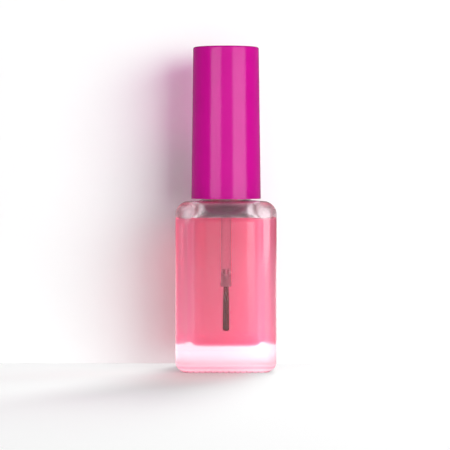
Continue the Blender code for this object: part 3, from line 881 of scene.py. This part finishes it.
def add_range(tree, value, before, after):
    """A value moved evenly from one range to another, and held at its ends."""
    node = tree.nodes.new("ShaderNodeMapRange")
    ends = zip(("From Min", "From Max", "To Min", "To Max"), (*before, *after))
    set_inputs(node, dict(ends))
    tree.links.new(value, node.inputs["Value"])
    return node.outputs["Result"]


def add_math(tree, operation, first, second):
    """Two values put together by an operation, each a node's output or a number."""
    node = tree.nodes.new("ShaderNodeMath")
    node.operation = operation
    for value, socket in zip((first, second), node.inputs):
        if isinstance(value, float):
            socket.default_value = value
        else:
            tree.links.new(value, socket)
    return node.outputs[0]


def add_axis(tree, place, axis):
    parts = tree.nodes.new("ShaderNodeSeparateXYZ")
    tree.links.new(place, parts.inputs["Vector"])
    return parts.outputs[axis]


def add_height(tree, place, low, high):
    """0 at the lower height, 1 at the upper one, even between."""
    return add_range(tree, add_axis(tree, place, "Z"), (low, high), UNIT)


def add_distance(tree, place, middle, near, far):
    """0 up to the near distance from the middle, 1 from the far one, even between."""
    gap = tree.nodes.new("ShaderNodeVectorMath")
    gap.operation = "DISTANCE"
    gap.inputs[1].default_value = middle
    tree.links.new(place, gap.inputs[0])
    return add_range(tree, gap.outputs["Value"], (near, far), UNIT)


def add_cloud(tree, shader, value, colours, roughness=None, ends=CLOUD_ENDS):
    """A noise that mixes two colours, and with a range of roughness makes the gloss uneven."""
    colour = add_ramp(tree, value, list(zip(ends, colours)))
    tree.links.new(colour, shader.inputs["Base Color"])
    if roughness:
        tree.links.new(add_range(tree, value, UNIT, roughness), shader.inputs["Roughness"])


def add_bump(tree, shader, value, strength, distance):
    bump = tree.nodes.new("ShaderNodeBump")
    set_inputs(bump, {"Strength": strength, "Distance": distance})
    tree.links.new(value, bump.inputs["Height"])
    tree.links.new(bump.outputs["Normal"], shader.inputs["Normal"])


def add_clear(tree, tint):
    """A surface that lets everything through, coloured by the tint."""
    clear = tree.nodes.new("ShaderNodeBsdfTransparent")
    set_inputs(clear, {"Color": opaque(tint)})
    return clear.outputs["BSDF"]


def mix_surface(tree, share, first, second):
    """The material shows the first surface where the share is 0, the second where it is 1."""
    mix = tree.nodes.new("ShaderNodeMixShader")
    for value, socket in zip((share, first, second), mix.inputs):
        tree.links.new(value, socket)
    tree.links.new(mix.outputs["Shader"], tree.nodes["Material Output"].inputs["Surface"])


def mix_with_clear(tree, shader, share, tint):
    """Where the share is 1 the surface lets everything through, coloured by the tint."""
    mix_surface(tree, share, shader.outputs["BSDF"], add_clear(tree, tint))


def add_lighting(tree):
    """1 for light on its way to a surface that it falls on, 0 for what is seen."""
    path = tree.nodes.new("ShaderNodeLightPath")
    return add_math(tree, "MAXIMUM", path.outputs["Is Shadow Ray"], path.outputs["Is Diffuse Ray"])


def let_light_pass(tree, shader, tint):
    """Light falls straight through onto what lies behind, so that clear pieces cast pale shadows."""
    mix_with_clear(tree, shader, add_lighting(tree), tint)


def add_seen(tree, seen, through):
    """One value for what is seen directly, one for what is seen through glass, else 0."""
    path = tree.nodes.new("ShaderNodeLightPath")
    near = add_math(tree, "MULTIPLY", path.outputs["Is Camera Ray"], seen)
    far = add_math(tree, "MULTIPLY", path.outputs["Is Transmission Ray"], through)
    return add_math(tree, "ADD", near, far)


def satin_glass():
    """Moulded glass: a clear panel that turns satin towards the shoulder and the base."""
    material, tree, shader, place = new_material("satin_glass", {
        "IOR": GLASS_BEND,
        "Transmission Weight": 1.0,
    })
    height = add_height(tree, place, 0.0, BODY_TOP)
    # Painted light by height: painted pink reflections of the oil near the base, painted shade at the
    # shoulder
    tree.links.new(add_ramp(tree, height, GLASS_PAINTED_REFLECTION_AND_SHADE), shader.inputs["Base Color"])
    tree.links.new(add_ramp(tree, height, GLASS_FINISH), shader.inputs["Roughness"])
    waves = add_noise(tree, place, scale=90.0, detail=2.0)
    add_bump(tree, shader, waves, GLASS_WAVE_STRENGTH, GLASS_WAVE_DEPTH)
    let_light_pass(tree, shader, GLASS_GLOW)
    return material


def wetted_glass():
    """The cavity's wall where oil covers it: the two bend light alike, so only a gleam shows."""
    material, tree, shader, _ = new_material("wetted_glass", {
        "Base Color": opaque(WHITE),
        "Metallic": 1.0,
        "Roughness": WETTED_ROUGHNESS,
    })
    clear = add_math(tree, "MAXIMUM", add_lighting(tree), 1.0 - WETTED_GLEAM)
    mix_with_clear(tree, shader, clear, WHITE)
    return material


def pink_oil():
    """Clear pink oil, coloured by its depth; its own surface shows on top, not where it wets."""
    material, tree, shader, place = new_material("pink_oil", {
        "Base Color": opaque(WHITE),
        "Roughness": 0.0,
        "IOR": OIL_BEND,
        "Transmission Weight": 1.0,
    })
    surface = OIL[1].z - MENISCUS_HEIGHT - OIL_OVERLAP
    wetted = add_math(tree, "LESS_THAN", add_axis(tree, place, "Z"), surface)
    clear = add_math(tree, "MAXIMUM", add_lighting(tree), wetted)
    mix_with_clear(tree, shader, clear, WHITE)
    depth = tree.nodes.new("ShaderNodeVolumeAbsorption")
    set_inputs(depth, {"Color": opaque(OIL_TINT), "Density": OIL_DENSITY})
    tree.links.new(depth.outputs["Volume"], tree.nodes["Material Output"].inputs["Volume"])
    return material


def moulded_plastic(name, colours, roughness, cloud, detail, grain, grain_strength):
    """Moulded plastic: two close colours in soft clouds, a fine grain, slightly uneven gloss."""
    material, tree, shader, place = new_material(name, {})
    add_cloud(tree, shader, add_noise(tree, place, cloud, detail), colours, roughness)
    add_bump(tree, shader, add_noise(tree, place, grain, detail=2.0), grain_strength, GRAIN_DEPTH)
    return material, tree, shader


def magenta_satin():
    """Satin plastic of the overcap, thin enough to tint its shadow."""
    material, tree, shader = moulded_plastic(
        "magenta_satin", CAP_COLOURS, roughness=(0.16, 0.20), cloud=140.0, detail=4.0,
        grain=9000.0, grain_strength=0.05,
    )
    set_inputs(shader, {"Specular IOR Level": 0.25})
    path = tree.nodes.new("ShaderNodeLightPath")
    mix_with_clear(tree, shader, path.outputs["Is Shadow Ray"], CAP_GLOW)
    return material


def inner_cap_plastic():
    """White plastic of the inner cap, which light passes."""
    material, tree, shader = moulded_plastic(
        "inner_cap_plastic", INNER_CAP_COLOURS, roughness=(0.41, 0.49), cloud=400.0, detail=3.0,
        grain=6000.0, grain_strength=0.1,
    )
    let_light_pass(tree, shader, INNER_CAP_GLOW)
    return material


def liner_foam():
    """Off-white foam with a coarser skin."""
    return moulded_plastic(
        "liner_foam", LINER_COLOURS, roughness=(0.76, 0.84), cloud=400.0, detail=3.0,
        grain=6000.0, grain_strength=0.6,
    )[0]


def stem_plastic():
    """Milky see-through plastic: partly a pale surface, partly what lies behind it."""
    material, tree, shader, place = new_material("milky_stem", {"Roughness": 0.35})
    add_cloud(tree, shader, add_noise(tree, place, scale=500.0, detail=3.0), STEM_COLOURS)
    milk = add_ramp(tree, add_height(tree, place, *STEM_MILK_REACH), STEM_MILK)
    edge = tree.nodes.new("ShaderNodeLayerWeight")
    set_inputs(edge, {"Blend": STEM_EDGE_BLEND})
    rim = add_math(tree, "MULTIPLY", edge.outputs["Facing"], STEM_EDGE_MILK)
    share = add_math(tree, "ADD", milk, rim)
    mix_surface(tree, share, add_clear(tree, WHITE), shader.outputs["BSDF"])
    return material


def staple_metal():
    """Drawn flat wire: fine lines along its length."""
    material, tree, shader, place = new_material("staple_wire", {"Metallic": 1.0})
    lines = add_noise(tree, add_stretch(tree, place, STAPLE_STRETCH), scale=12000.0, detail=2.0)
    add_cloud(tree, shader, lines, STAPLE_COLOURS, roughness=(0.22, 0.38))
    return material


def tuft_nylon():
    """Dark nylon filament, each strand a little lighter or darker."""
    material, tree, shader, place = new_material("tuft_nylon", {
        "Roughness": 0.4,
        "Specular IOR Level": 0.1,
    })
    strands = add_noise(tree, add_stretch(tree, place, STRAND_STRETCH), scale=9000.0, detail=1.0)
    add_cloud(tree, shader, strands, STRAND_COLOURS, ends=STRAND_ENDS)
    return material


def studio_paper(name, glows):
    """Matte white paper, and the glow that shows it as white where nothing shades it."""
    material, tree, shader, place = new_material(name, {
        "Base Color": opaque(PAPER_WHITE),
        "Roughness": 0.9,
        "Specular IOR Level": 0.0,
        "Emission Color": opaque(WHITE),
    })
    return material, tree, shader, place, add_seen(tree, *glows)


def floor_paper():
    """White paper that keeps its tone far from the lamps, and meets the backdrop's softly through
    painted shade: its glow fades out towards the backdrop.
    """
    material, tree, shader, place, glow = studio_paper("floor_paper", FLOOR_GLOWS)
    far = add_distance(tree, place, (0.0, 0.0, 0.0), *FLOOR_LIFT_REACH)
    lifted = add_math(tree, "MULTIPLY", glow, add_range(tree, far, UNIT, (1.0, FLOOR_LIFT)))
    # Painted shade: the floor's glow fades from full at the bottle's front to nothing at the backdrop
    wall = add_range(tree, add_axis(tree, place, "Y"), (BACKDROP_PLACE, GLASS[0].y), UNIT)
    tree.links.new(add_math(tree, "MULTIPLY", lifted, wall), shader.inputs["Emission Strength"])
    return material


def backdrop_paper():
    """White card just behind the bottle that takes its shadow, with painted shade that dims its glow
    towards the top; it ends softly and has no back.
    """
    material, tree, shader, place, glow = studio_paper("backdrop_paper", BACKDROP_GLOWS)
    # Painted shade: the glow dims towards the top of the body
    height = add_height(tree, place, 0.0, BODY_TOP)
    shaded_glow = add_math(tree, "MULTIPLY", glow, add_range(tree, height, UNIT, (1.0, BACKDROP_PAINTED_SHADE)))
    tree.links.new(shaded_glow, shader.inputs["Emission Strength"])
    middle = (0.0, BACKDROP_PLACE, VIEW_AIM.z)
    edge = add_distance(tree, place, middle, BACKDROP_REACH / 2, BACKDROP_REACH)
    side = tree.nodes.new("ShaderNodeNewGeometry")
    clear = add_math(tree, "MAXIMUM", edge, side.outputs["Backfacing"])
    mix_with_clear(tree, shader, clear, WHITE)
    return material


def dress(piece, material, body, slot, *nodes):
    """Finish a piece: its material, the body it rides on and the solids it stands for. The slot is not
    used.
    """
    piece.data.materials.clear()
    piece.data.materials.append(material)
    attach(piece, body)
    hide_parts(*nodes)
    return piece


def wet(glass, material):
    """Give the cavity's wall below the oil's level its own finish."""
    glass.data.materials.append(material)
    reach = OIL[1].x + 2 * GAP
    foot, level = OIL[0].z - 2 * GAP, OIL[1].z
    for face in glass.data.polygons:
        place = face.center
        if max(abs(place.x), abs(place.y)) < reach and foot < place.z < level:
            face.material_index = 1


def make_pieces():
    """The pieces that show, the glass and its oil first."""
    glass = make_glass()
    dress(glass, satin_glass(), "bottle", "glass", "glass_bottle")
    wet(glass, wetted_glass())
    return [
        glass,
        dress(make_oil(), pink_oil(), "bottle", "oil", "oil"),
        dress(make_overcap(), magenta_satin(), "cap", "cap_plastic", "overcap"),
        dress(make_inner_cap(), inner_cap_plastic(), "cap", "inner_plastic", "inner_cap"),
        dress(make_liner(), liner_foam(), "liner", "liner_foam", "sealing_liner"),
        dress(make_stem(), stem_plastic(), "brush_rod", "stem_plastic", "brush_stem"),
        dress(make_anchor(), staple_metal(), "cap", "anchor_metal", "bristle_anchor"),
        dress(make_tuft(), tuft_nylon(), "cap", "bristle_nylon", "bristles"),
    ]


def make_camera():
    bpy.ops.object.camera_add(location=(VIEW_AIM.x, -VIEW_DISTANCE, VIEW_HEIGHT))
    camera = bpy.context.object
    camera.name = "photo_camera"
    camera.rotation_euler = (VIEW_AIM - camera.location).to_track_quat("-Z", "Y").to_euler()
    camera.data.sensor_width = VIEW_SENSOR
    camera.data.lens = VIEW_LENS
    camera.data.clip_start, camera.data.clip_end = VIEW_CLIP
    bpy.context.scene.camera = camera


def make_stage():
    """The floor, and a card behind the bottle that is seen only directly and through glass."""
    bpy.ops.mesh.primitive_plane_add(size=FLOOR_SIZE)
    floor = named("studio_floor")
    floor.data.materials.append(floor_paper())
    bpy.ops.mesh.primitive_plane_add(
        size=2 * BACKDROP_REACH,
        location=(0, BACKDROP_PLACE, BACKDROP_REACH), rotation=(pi / 2, 0, 0)
    )
    backdrop = named("studio_backdrop")
    backdrop.data.materials.append(backdrop_paper())
    backdrop.visible_diffuse = backdrop.visible_glossy = backdrop.visible_shadow = False
    return floor, backdrop


def add_lamp(name, turn, lift, width, height, radiance):
    """A soft rectangular light that faces the bottle."""
    turn, lift = radians(turn), radians(lift)
    way = Vector((sin(turn) * cos(lift), -cos(turn) * cos(lift), sin(lift)))
    bpy.ops.object.light_add(type="AREA", location=LAMP_AIM + way * LAMP_DISTANCE)
    lamp = bpy.context.object
    lamp.name = name
    lamp.rotation_euler = way.to_track_quat("Z", "Y").to_euler()
    lamp.data.shape = "RECTANGLE"
    lamp.data.size = width
    lamp.data.size_y = height
    lamp.data.energy = radiance * pi * width * height
    lamp.visible_camera = False
    return lamp


def make_lamps(lit):
    """Each lamp falls on its own group of surfaces, and everything still casts its shadow."""
    groups = {}
    for name, surfaces in lit.items():
        groups[name] = bpy.data.collections.new(name)
        for surface in surfaces:
            groups[name].objects.link(surface)
    for *placing, left_out, group in LAMPS:
        lamp = add_lamp(*placing)
        lamp.visible_diffuse = "diffuse" not in left_out
        lamp.visible_glossy = "glossy" not in left_out
        lamp.visible_transmission = "transmission" not in left_out
        if group:
            lamp.light_linking.receiver_collection = groups[group]


def make_room():
    """White all round: bright where it is seen directly, dimmer through glass and as a light."""
    world = bpy.data.worlds.new("pale_studio")
    bpy.context.scene.world = world
    world.use_nodes = True
    tree = world.node_tree
    sky = tree.nodes["Background"]
    set_inputs(sky, {"Color": opaque(WHITE)})
    seen = add_seen(tree, 1.0 - ROOM_STRENGTH, ROOM_THROUGH - ROOM_STRENGTH)
    tree.links.new(add_math(tree, "ADD", seen, ROOM_STRENGTH), sky.inputs["Strength"])


deselect()
pieces = make_pieces()
make_camera()
make_lamps({
    "lit_pieces": pieces,
    "lit_glass": pieces[:2],
    "lit_cap": pieces[2:],
    "lit_stage": make_stage(),
})
make_room()
bpy.context.scene.view_settings.view_transform = "Standard"
